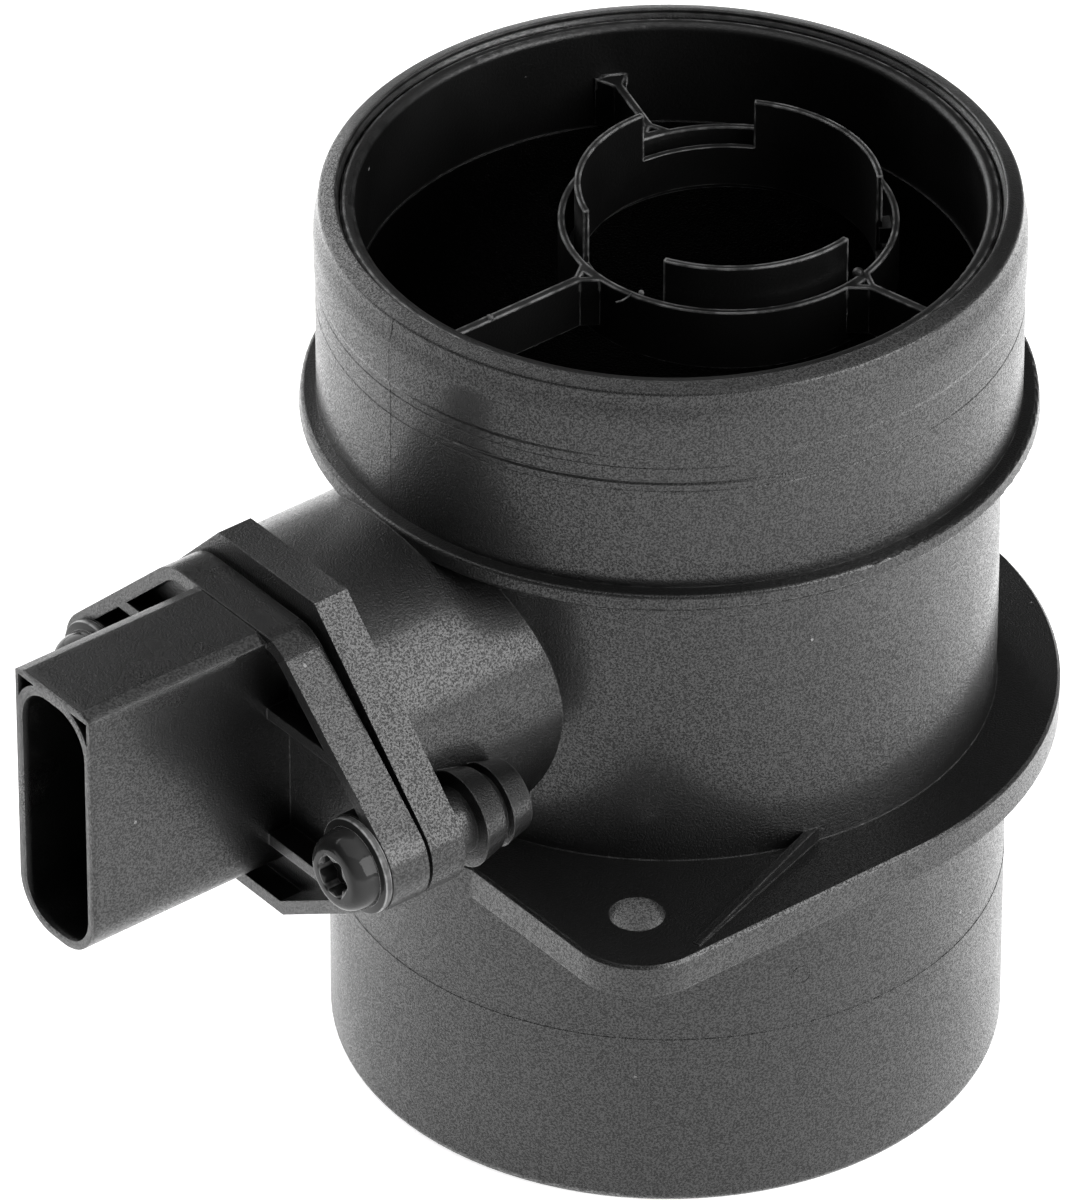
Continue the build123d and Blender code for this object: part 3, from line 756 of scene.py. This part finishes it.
class NodeModifier(ShaderTree):
    """A Geometry Nodes tree with named inputs, run once on an object.

    Attributes:
        ids: socket identifier by input name.
        values: default value by input name, without the finish.
        given: the tree's inputs, seen from inside.
    """

    kinds = {float: "Float", int: "Int", tuple: "Vector"}

    def __init__(self, name: str, values: dict[str, object]) -> None:
        """Makes an empty tree with a Geometry input and output, the named inputs and Finish.

        Args:
            name: the tree's name.
            values: default value by input name.
        """
        super().__init__(bpy.data.node_groups.new(name, "GeometryNodeTree"))
        self.ids: dict[str, str] = {}
        self.values = values
        self.declare("Geometry", "INPUT", "Geometry")
        for label, value in values.items():
            self.ids[label] = self.declare(label, "INPUT", self.kinds[type(value)], value)
        self.ids["Finish"] = self.declare("Finish", "INPUT", "Material")
        self.declare("Geometry", "OUTPUT", "Geometry")
        self.given = self.add("NodeGroupInput").outputs

    def grow(self, kind: str, **values: object) -> Node:
        """Adds a geometry node and feeds its inputs.

        Args:
            kind: the node's type name without the GeometryNode prefix.
            values: its inputs, as fill takes them.

        Returns:
            The new node.
        """
        return self.fill(self.tree.nodes.new("GeometryNode" + kind), **values)

    def close(self, geometry: NodeSocket) -> None:
        """Ends the tree in Realize Instances and Set Material."""
        real = self.grow("RealizeInstances", Geometry=geometry).outputs["Geometry"]
        painted = self.grow("SetMaterial", Geometry=real, Material=self.given["Finish"])
        self.fill(self.add("NodeGroupOutput"), Geometry=painted.outputs["Geometry"])

    def run(self, piece: Object, finish: Material, **values: object) -> None:
        """Runs the tree on an object and keeps the result as a plain mesh.

        Args:
            piece: the object.
            finish: the material.
            values: other constants by input name, with spaces written as underscores.
        """
        modifier = piece.modifiers.new(self.tree.name, "NODES")
        modifier.node_group = self.tree
        chosen = {label.replace("_", " "): value for label, value in values.items()}
        for label, value in {**self.values, **chosen, "Finish": finish}.items():
            modifier[self.ids[label]] = value
        bake_modifiers(piece)


def line_tree() -> NodeModifier:
    """Builds the tree that turns thin paths into fine raised moulding lines.

    Returns:
        The tree, with inputs Line Radius, Sides and Finish.
    """
    rig = NodeModifier("moulding_line", {"Line Radius": 0.0001, "Sides": 8})
    given = rig.given
    path = rig.grow("MeshToCurve", Mesh=given["Geometry"]).outputs["Curve"]
    size = {"Resolution": given["Sides"], "Radius": given["Line Radius"]}
    ring = rig.grow("CurvePrimitiveCircle", **size).outputs["Curve"]
    tube = rig.grow("CurveToMesh", Curve=path, Profile_Curve=ring, Fill_Caps=True)
    rig.close(tube.outputs["Mesh"])
    return rig


# The band's lines: input name, half width in metres, and the middle and half width of the window
# of angles in which a line shows, in radians. A line without a window runs all round.
BAND_LINES = (
    ("Low Line", 0.00020, None),
    ("Deep Line", 0.00032, (3.93, 0.62)),
    ("High Line", 0.00018, (3.45, 0.85)),
)
ALL_ROUND_SHARE = 0.8  # depth of a line that runs all round, as a share of Line Depth
WINDOW_CORE = 0.6  # share of a window in which its line keeps the full depth


def band_tree() -> NodeModifier:
    """Builds the tree that wraps a flat strip round the tube and raises its bead and lines.

    The strip's X is the angle in radians, its Y the depth under the surface and its Z the height.

    Returns:
        The tree, with inputs for the band's radius, bead, lead-in, three lines and Finish.
    """
    rig = NodeModifier(
        "wrapped_band",
        {
            "Band Radius": 0.04205,
            "Bead Rise": 0.00016, "Bead Low": 0.1092, "Bead Slope": 0.0006, "Bead High": 0.1142,
            "Rim Height": 0.1178, "Lead Taper": 0.00058,
            "Low Line": 0.1051, "Deep Line": 0.10615, "High Line": 0.1083, "Line Depth": 0.0002,
        },
    )
    given = rig.given
    angle, depth, height = rig.split(rig.grow("InputPosition").outputs[0])
    foot = rig.remap(height, given["Bead Low"], rig.plus(given["Bead Low"], given["Bead Slope"]))
    bead = rig.times(given["Bead Rise"], foot)
    taper = rig.remap(height, given["Bead High"], given["Rim Height"])
    lead = rig.times(given["Lead Taper"], taper)
    lines = 0.0
    for label, half_width, window in BAND_LINES:
        share = ALL_ROUND_SHARE
        if window:
            middle, half = window
            share = rig.remap(rig.apart(angle, middle), WINDOW_CORE * half, half, 1.0, 0.0)
        valley = rig.remap(rig.apart(height, given[label]), 0.0, half_width, 1.0, 0.0)
        lines = rig.plus(lines, rig.times(valley, share))
    lowered = rig.plus(lead, rig.times(given["Line Depth"], lines))
    radius = rig.minus(rig.plus(given["Band Radius"], rig.minus(bead, lowered)), depth)
    x = rig.times(radius, rig.math("COSINE", angle))
    y = rig.times(radius, rig.math("SINE", angle))
    spot = rig.fill(rig.add("CombineXYZ"), X=x, Y=y, Z=height)
    wrapped = rig.grow("SetPosition", Geometry=given["Geometry"], Position=spot.outputs[0])
    sewn = rig.grow("MergeByDistance", Geometry=wrapped.outputs[0], Distance=SEW)
    rig.close(sewn.outputs[0])
    return rig


def row_tree() -> NodeModifier:
    """Builds the tree that repeats a piece in a straight row.

    Returns:
        The tree, with inputs Count, Start, Step and Finish.
    """
    rig = NodeModifier("straight_row", {"Count": 2, "Start": (0.0,) * 3, "Step": (0.0,) * 3})
    given = rig.given
    ends = {"Start_Location": given["Start"], "Offset": given["Step"]}
    places = rig.grow("MeshLine", Count=given["Count"], **ends).outputs["Mesh"]
    copies = rig.grow("InstanceOnPoints", Points=places, Instance=given["Geometry"])
    rig.close(copies.outputs["Instances"])
    return rig


def turns(steps: int) -> list[float]:
    """Lists the angles that part a full turn into equal steps, in radians."""
    return [math.tau * step / steps for step in range(steps)]


# ---- sub-assemblies ----
# Sizes are in millimetres and angles in degrees.


@dataclass
class Workshop:
    """What every sub-assembly is built with."""

    finishes: dict[Slot, Material]
    lines: NodeModifier
    rows: NodeModifier
    bands: NodeModifier

    def dress(self, piece: Object, slot: Slot, *nodes: str) -> Object:
        """Gives a new piece its finish, its body and the nodes it stands for.

        Args:
            piece: the finished object.
            slot: its material slot.
            nodes: the CAD nodes that it replaces.

        Returns:
            The same object.
        """
        piece.data.materials.clear()
        piece.data.materials.append(self.finishes[slot])
        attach(piece, "root")
        if nodes:
            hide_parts(*nodes)
        LOG.info("%s: %d faces in %s", piece.name, len(piece.data.polygons), slot.value)
        return piece

    def draw(
        self, name: str, path: Path, radius: float, slot: Slot, closed: bool = False
    ) -> Object:
        """Draws a path as a fine raised line.

        Args:
            name: the new piece's name.
            path: its points in millimetres.
            radius: the line's radius in millimetres.
            slot: its material slot.
            closed: joins the path's end to its start.

        Returns:
            The dressed piece.
        """
        shape = bmesh.new()
        points = [shape.verts.new(Vector(point) * MM) for point in path]
        for first, second in zip(points, points[1:]):
            shape.edges.new((first, second))
        if closed:
            shape.edges.new((points[-1], points[0]))
        piece = from_bmesh(name, shape)
        self.lines.run(piece, self.finishes[slot], Line_Radius=radius * MM)
        return self.dress(piece, slot)

    def paint(self, slot: Slot, *nodes: str) -> None:
        """Gives CAD nodes that stay their finish.

        Args:
            slot: the material slot.
            nodes: the CAD nodes.
        """
        for node in nodes:
            mesh = frame["nodes"][node].data
            for index in range(len(mesh.materials)):
                mesh.materials[index] = self.finishes[slot]
            LOG.info("%s: kept, in %s", node, slot.value)


@dataclass
class DuctTube:
    """The flanged duct tube with its boss, plate, posts, hose band and moulding lines.

    The rim's profiles are depths and heights past the rim or its crown.
    """

    skirt_radius: float = 41.1
    skirt_line_z: float = 24.6
    skirt_line_radius: float = 0.05
    band_low_z: float = 91.46
    band_smooth: float = 35.0
    rim_z: float = 118.34
    rim_wall: float = 2.1
    rim_round: float = 0.5
    rim_profile: Pairs = ((0.02, -0.3), (0.08, -0.15), (0.2, -0.03), (0.36, 0.04))
    rim_crown: float = 0.55
    crown_profile: Pairs = ((-0.3, -0.03), (-0.14, 0.0), (0.0, -0.12))
    inner_step: Pair = (0.5, 0.8)
    fine_levels: Pairs = (
        (104.8, 105.4), (105.7, 106.6), (108.05, 108.55), (109.1, 109.9)
    )
    fine_step: float = 0.06
    coarse_step: float = 0.8
    turn_steps: int = 288
    seam_angle: float = 180.0
    seam_path: Pairs = (
        (42.0, 91.6), (42.0, 109.1), (42.16, 109.9), (42.16, 114.2), (41.6, 117.8)
    )
    seam_radius: float = 0.09
    ring_steps: int = 240
    ejector_turn: float = -106.0
    ejector_z: float = 32.0
    ejector_radius: float = 1.2
    ejector_line: float = 0.045
    ejector_steps: int = 40

    def build(self, shop: Workshop) -> None:
        """Builds the tube, its band and its lines."""
        shop.dress(copy_solid("tube_housing", "duct_tube"), Slot.HOUSING, "tube_housing")
        band = self.strip()
        shop.bands.run(band, shop.finishes[Slot.HOUSING])
        smooth_by_angle(band, self.band_smooth)
        shop.dress(band, Slot.HOUSING)
        shop.draw("band_seam", self.seam(), self.seam_radius, Slot.HOUSING)
        shop.draw("skirt_line", self.ring(), self.skirt_line_radius, Slot.HOUSING, closed=True)
        shop.draw("ejector_mark", self.ejector(), self.ejector_line, Slot.HOUSING, closed=True)

    def heights(self) -> list[float]:
        """Spaces the heights of the band's rings: close at the lines, wide elsewhere."""
        top, z = self.rim_z - self.rim_round, self.band_low_z
        levels = {top}
        while z < top:
            levels.add(round(z, 3))
            z += self.coarse_step
        for low, high in self.fine_levels:
            count = round((high - low) / self.fine_step)
            levels |= {round(low + step * self.fine_step, 3) for step in range(count + 1)}
        return sorted(levels)

    def strip(self) -> Object:
        """Makes the closed flat strip that the band's tree wraps round the tube.

        Returns:
            The strip, with X as the angle, Y as the depth and Z as the height.
        """
        top, wall = self.rim_z, self.rim_wall
        step_in, step_down = self.inner_step
        outline = [(0.0, z) for z in self.heights()]
        outline += [(depth, top + rise) for depth, rise in self.rim_profile]
        crown = top + self.rim_crown
        outline += [(wall + depth, crown + rise) for depth, rise in self.crown_profile]
        outline += [(wall - step_in, top - step_down), (wall - step_in, self.band_low_z)]
        shape = bmesh.new()
        angles = (*turns(self.turn_steps), math.tau)
        skin(shape, [[(angle, depth * MM, z * MM) for depth, z in outline] for angle in angles])
        return from_bmesh("hose_band", shape)

    def seam(self) -> Path:
        """Lists the points of the parting seam up the band."""
        turn = math.radians(self.seam_angle)
        along = Vector((math.cos(turn), math.sin(turn), 0.0))
        return tuple(along * radius + Vector((0, 0, z)) for radius, z in self.seam_path)

    def on_skirt(self, angle: float, z: float) -> Point:
        """Finds the point of the skirt at an angle in radians and a height."""
        return self.skirt_radius * math.cos(angle), self.skirt_radius * math.sin(angle), z

    def ring(self) -> Path:
        """Lists the points of the faint line round the skirt."""
        return tuple(self.on_skirt(turn, self.skirt_line_z) for turn in turns(self.ring_steps))

    def ejector(self) -> Path:
        """Lists the points of the small circle that an ejector pin left on the skirt."""
        points = []
        middle, radius = math.radians(self.ejector_turn), self.ejector_radius
        for turn in turns(self.ejector_steps):
            angle = middle + radius * math.cos(turn) / self.skirt_radius
            points.append(self.on_skirt(angle, self.ejector_z + radius * math.sin(turn)))
        return tuple(points)


@dataclass
class FlowInsert:
    """Sleeve wall, three spokes and inner ring, one moulding, with its flash and its snap lug."""

    ring_centre: Pair = (9.0, 0.2)
    lug_turn: Pair = (-35.0, -27.0)
    lug_reach: Pair = (17.9, 19.6)
    lug_z: Pair = (106.8, 109.0)
    mark_smooth: float = 40.0
    flash_radius: float = 0.11
    flash_smooth: float = 60.0
    flash: Path = (
        (-12.7, -5.5, 111.3), (-12.0, -5.9, 111.5), (-11.0, -5.8, 111.6), (-10.2, -5.2, 111.3)
    )
    lumps: Path = ((-9.1, -5.8, 111.3), (-26.3, 1.1, 111.3), (13.5, -18.4, 111.3))
    lump_radii: Point = (0.35, 0.5, 0.7)
    lump_detail: int = 2

    def build(self, shop: Workshop) -> None:
        """Builds the insert, the metering sleeve and the small marks of moulding."""
        shop.dress(copy_solid("flow_insert", "spoked_insert"), Slot.INSERT, "flow_insert")
        shop.dress(copy_solid("metering_sleeve", "tabbed_sleeve"), Slot.INSERT, "metering_sleeve")
        shop.dress(self.marks(), Slot.INSERT)
        curl = shop.draw("flash_curl", self.flash, self.flash_radius, Slot.INSERT)
        smooth_by_angle(curl, self.flash_smooth)

    def marks(self) -> Object:
        """Makes one object of the snap lug, between sleeve and ring, and the gates' lumps."""
        shape = bmesh.new()
        ranges = self.lug_turn, self.lug_reach, self.lug_z
        middle_x, middle_y = self.ring_centre
        for corner in bmesh.ops.create_cube(shape, size=2.0)["verts"]:
            turn, reach, z = (
                low + (high - low) * (part + 1) / 2 for (low, high), part in zip(ranges, corner.co)
            )
            turn = math.radians(turn)
            x, y = middle_x + reach * math.cos(turn), middle_y + reach * math.sin(turn)
            corner.co = Vector((x, y, z)) * MM
        for place, size in zip(self.lumps, self.lump_radii):
            spot = Matrix.Translation(Vector(place) * MM)
            detail = self.lump_detail
            bmesh.ops.create_icosphere(shape, subdivisions=detail, radius=size * MM, matrix=spot)
        bmesh.ops.recalc_face_normals(shape, faces=shape.faces)
        piece = from_bmesh("insert_marks", shape)
        smooth_by_angle(piece, self.mark_smooth)
        return piece


@dataclass
class SensorPlug:
    """The plug-in sensor housing with its shroud, and what it holds."""

    pins: int = 5

    def build(self, shop: Workshop) -> None:
        """Builds the housing and paints what is inside it."""
        shop.dress(copy_solid("sensor_housing", "sensor_body"), Slot.SENSOR, "sensor_housing")
        shop.paint(Slot.COVER, "electronics_cover", "bypass_cover", "chip_carrier")
        shop.paint(Slot.SEAL, "neck_seal")
        shop.paint(Slot.PIN, *[f"contact_pin_{number + 1}" for number in range(self.pins)])
        shop.paint(Slot.CARRIER, "base_plate")
        shop.paint(Slot.BOARD, "circuit_board")
        shop.paint(Slot.CHIP, "sensing_chip")
        shop.paint(Slot.GEL, "gel_fill")
        shop.paint(Slot.BEAD, "temperature_bead")


@dataclass
class FlangeScrews:
    """Two screws with a six-lobe drive, a domed head and a washer face.

    The profiles list rings: radius, distance out from the seat and, in the drive, lobe depth.
    """

    seat_x: float = -66.3
    screw_y: float = 25.2
    screw_z: float = 65.5
    drive: Path = (
        (0.4, 2.2, 0.0), (2.25, 2.2, 0.16), (2.3, 2.3, 0.16), (2.3, 3.98, 0.16),
        (2.38, 4.12, 0.144), (2.52, 4.2, 0.112), (2.85, 4.22, 0.05),
    )
    lobes: int = 6
    dome_foot: Pair = (3.4, 1.25)
    dome_size: Pair = (1.6, 2.95)
    dome_powers: Pair = (0.9, 0.8)
    dome_steps: int = 10
    washer_and_shank: Pairs = (
        (5.06, 1.08), (5.25, 1.0), (5.8, 1.0), (6.0, 0.92), (6.1, 0.7), (6.1, 0.25),
        (5.98, 0.03), (5.8, 0.0), (2.35, 0.0), (2.35, -16.2), (1.65, -17.0), (0.4, -17.0),
    )
    turn_steps: int = 96
    smooth: float = 40.0

    def rings(self) -> list[Point]:
        """Lists the screw's rings from the drive floor outward and down to the tip.

        Returns:
            Radius, distance out from the seat and lobe depth of each ring.
        """
        (inner, foot), (wide, high) = self.dome_foot, self.dome_size
        bulge, fall = self.dome_powers
        plain = []
        for step in range(self.dome_steps + 1):
            turn = step / self.dome_steps * math.pi / 2
            radius = inner + wide * math.sin(turn) ** bulge
            plain.append((radius, foot + high * math.cos(turn) ** fall))
        return [*self.drive, *((*ring, 0.0) for ring in (*plain, *self.washer_and_shank))]

    def screw(self) -> Object:
        """Makes one screw with its seat at the origin, its head towards -X."""
        shape = bmesh.new()
        loops = []
        for radius, out, lobe in self.rings():
            loop = []
            for turn in turns(self.turn_steps):
                reach = radius * (1.0 + lobe * math.cos(self.lobes * turn))
                loop.append(Vector((-out, reach * math.cos(turn), reach * math.sin(turn))) * MM)
            loops.append(loop)
        rows = skin(shape, loops)
        shape.faces.new(rows[0])
        shape.faces.new(list(reversed(rows[-1])))
        bmesh.ops.recalc_face_normals(shape, faces=shape.faces)
        piece = from_bmesh("flange_screws", shape)
        smooth_by_angle(piece, self.smooth)
        return piece

    def build(self, shop: Workshop) -> None:
        """Builds both screws in one row."""
        piece = self.screw()
        start = Vector((self.seat_x, -self.screw_y, self.screw_z)) * MM
        step = Vector((0.0, 2 * self.screw_y, 0.0)) * MM
        shop.rows.run(piece, shop.finishes[Slot.SCREW], Count=2, Start=start, Step=step)
        shop.dress(piece, Slot.SCREW, "screw_near", "screw_far")


# ---- studio ----
# Sizes are in metres and angles in degrees.


@dataclass(frozen=True)
class Softbox:
    """A soft area lamp, placed by its bearing from the camera's own side."""

    name: str
    bearing: float
    rise: float
    reach: float
    size: float
    power: float


SOFTBOXES = (
    Softbox("left_softbox", -135.0, 26.0, 0.85, 0.8, 5.5),
    Softbox("right_softbox", 60.0, 28.0, 0.85, 0.7, 9.4),
    Softbox("overhead_softbox", 180.0, 88.0, 1.2, 1.6, 8.9),
)


@dataclass
class Studio:
    """Pale floor, soft lamps, white surround and the camera."""

    azimuth: float = -38.47
    elevation: float = 35.31
    distance: float = 1.60926
    aim_side: float = -0.01577
    aim_z: float = 0.059852
    lens: float = 401.39
    sensor: float = 36.0
    clip: Pair = (0.1, 20.0)
    floor_half: float = 3.0
    horizon: float = 0.25
    zenith: float = 0.0
    horizon_top: float = 0.35
    lamp_aim: Point = (0.0, 0.0, 0.05)

    def build(self, effects: Effects) -> None:
        """Builds the whole studio."""
        self.camera()
        self.world()
        self.floor(effects)
        self.lamps()
        bpy.context.scene.view_settings.view_transform = "Standard"

    def axes(self) -> tuple[Vector, Vector, Vector]:
        """Works out the camera's right, up and back directions.

        Returns:
            The three unit vectors.
        """
        turn, rise = math.radians(self.azimuth), math.radians(self.elevation)
        right = Vector((math.cos(turn), math.sin(turn), 0.0))
        flat = math.cos(rise)
        back = Vector((math.sin(turn) * flat, -math.cos(turn) * flat, math.sin(rise)))
        return right, back.cross(right), back

    def camera(self) -> None:
        """Places the camera."""
        data = bpy.data.cameras.new("studio_camera")
        data.lens = self.lens
        data.sensor_width = self.sensor
        data.clip_start, data.clip_end = self.clip
        lens = link("studio_camera", data)
        right, up, back = self.axes()
        spot = right * self.aim_side + Vector((0, 0, self.aim_z)) + back * self.distance
        facing = Matrix((right, up, back)).transposed().to_4x4()
        lens.matrix_world = Matrix.Translation(spot) @ facing
        bpy.context.scene.camera = lens

    def world(self) -> None:
        """Makes a surround that the camera sees as white and the object sees as a dim room."""
        world = bpy.data.worlds.new("white_surround")
        bpy.context.scene.world = world
        world.use_nodes = True
        kit = ShaderTree(world.node_tree)
        rays = kit.add("LightPath").outputs
        seen = kit.math("MAXIMUM", rays["Is Camera Ray"], rays["Is Transmission Ray"])
        _, _, height = kit.split(kit.add("TexCoord").outputs["Generated"])
        sky = kit.remap(height, 0.0, self.horizon_top, self.horizon, self.zenith)
        strength = kit.plus(kit.times(kit.minus(1.0, seen), sky), seen)
        background = world.node_tree.nodes["Background"]
        kit.fill(background, Color=(*grey(1.0), 1.0), Strength=strength)

    def floor(self, effects: Effects) -> None:
        """Lays the pale floor."""
        half = self.floor_half
        mesh = bpy.data.meshes.new("pale_floor")
        corners = [(x * half, y * half, 0.0) for x, y in ((-1, -1), (1, -1), (1, 1), (-1, 1))]
        mesh.from_pydata(corners, [], [(0, 1, 2, 3)])
        floor = link("pale_floor", mesh)
        mesh.materials.append(FloorFinish().build(effects))

    def lamps(self) -> None:
        """Hangs soft area lamps round the object."""
        aim = Vector(self.lamp_aim)
        for lamp in SOFTBOXES:
            turn = math.radians(self.azimuth - 90.0 + lamp.bearing)
            rise = math.radians(lamp.rise)
            flat = math.cos(rise)
            ray = Vector((math.cos(turn) * flat, math.sin(turn) * flat, math.sin(rise)))
            place = aim + ray * lamp.reach
            data = bpy.data.lights.new(lamp.name, "AREA")
            data.shape = "RECTANGLE"
            data.size, data.size_y, data.energy = lamp.size, lamp.size, lamp.power
            hung = link(lamp.name, data)
            hung.location = place
            hung.rotation_euler = (aim - place).to_track_quat("-Z", "Y").to_euler()


def main() -> None:
    """Builds the sub-assemblies in order."""
    logging.basicConfig(level=logging.INFO, format="%(name)s %(message)s")
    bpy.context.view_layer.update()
    effects = Effects()
    finishes = {slot: finish.build(effects) for slot, finish in all_finishes().items()}
    shop = Workshop(finishes, line_tree(), row_tree(), band_tree())
    for assembly in (DuctTube(), FlowInsert(), SensorPlug(), FlangeScrews()):
        assembly.build(shop)
        LOG.info("%s done", type(assembly).__name__)
    Studio().build(effects)
    bpy.context.view_layer.update()


if __name__ == "__main__":
    main()
